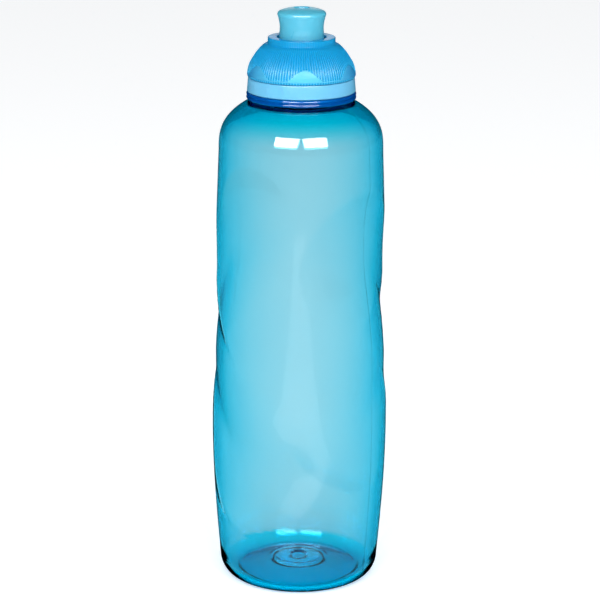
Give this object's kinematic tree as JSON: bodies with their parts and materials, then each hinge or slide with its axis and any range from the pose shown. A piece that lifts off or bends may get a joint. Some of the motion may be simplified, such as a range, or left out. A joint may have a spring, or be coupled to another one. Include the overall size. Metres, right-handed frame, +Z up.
{
  "type": "sports squeeze bottle",
  "caption": "Tall tinted squeeze bottle with helical grip dishes, a screw collar, and a twist dome that raises a drinking spout.",
  "frame": {"origin": "centre of the standing ring, at the bottom of the bottle", "axes": "+Z up along the bottle's axis, -Y the front face, +X to the right seen from the front"},
  "size_m": [0.0716, 0.0716, 0.2372],
  "materials": {
    "clear_blue_body": "clear tinted, glossy",
    "seal_rubber": "soft, satin",
    "cyan_collar": "opaque, moulded gloss",
    "o_ring_rubber": "soft, satin",
    "clear_blue_dome": "clear tinted, ribbed",
    "cyan_spout": "opaque, satin"
  },
  "bodies": {
    "bottle": {"bottle_body": "clear_blue_body"},
    "seal": {"neck_seal": "seal_rubber"},
    "cap": {"screw_collar": "cyan_collar", "spout_o_ring": "o_ring_rubber"},
    "dome": {"twist_dome": "clear_blue_dome"},
    "mouthpiece": {"spout": "cyan_spout"}
  },
  "joints": [
    {"name": "cap_rise", "type": "slide", "parent": "bottle", "child": "seal", "axis": [0, 0, 1], "range_m": [0, 0.024]},
    {"name": "cap_unscrew", "type": "hinge", "parent": "seal", "child": "cap", "pos_m": [0, 0, 0.2133], "axis": [0, 0, 1], "range_deg": [0, 1080]},
    {"name": "dome_twist", "type": "hinge", "parent": "cap", "child": "dome", "pos_m": [0, 0, 0.2098], "axis": [0, 0, 1], "range_deg": [0, 90]},
    {"name": "spout_rise", "type": "slide", "parent": "cap", "child": "mouthpiece", "axis": [0, 0, 1], "range_m": [0, 0.0045]}
  ],
  "couplings": [
    {"joint": "cap_rise", "follows": "cap_unscrew", "m_per_rad": 0.0012732},
    {"joint": "spout_rise", "follows": "dome_twist", "m_per_rad": 0.0028648}
  ]
}
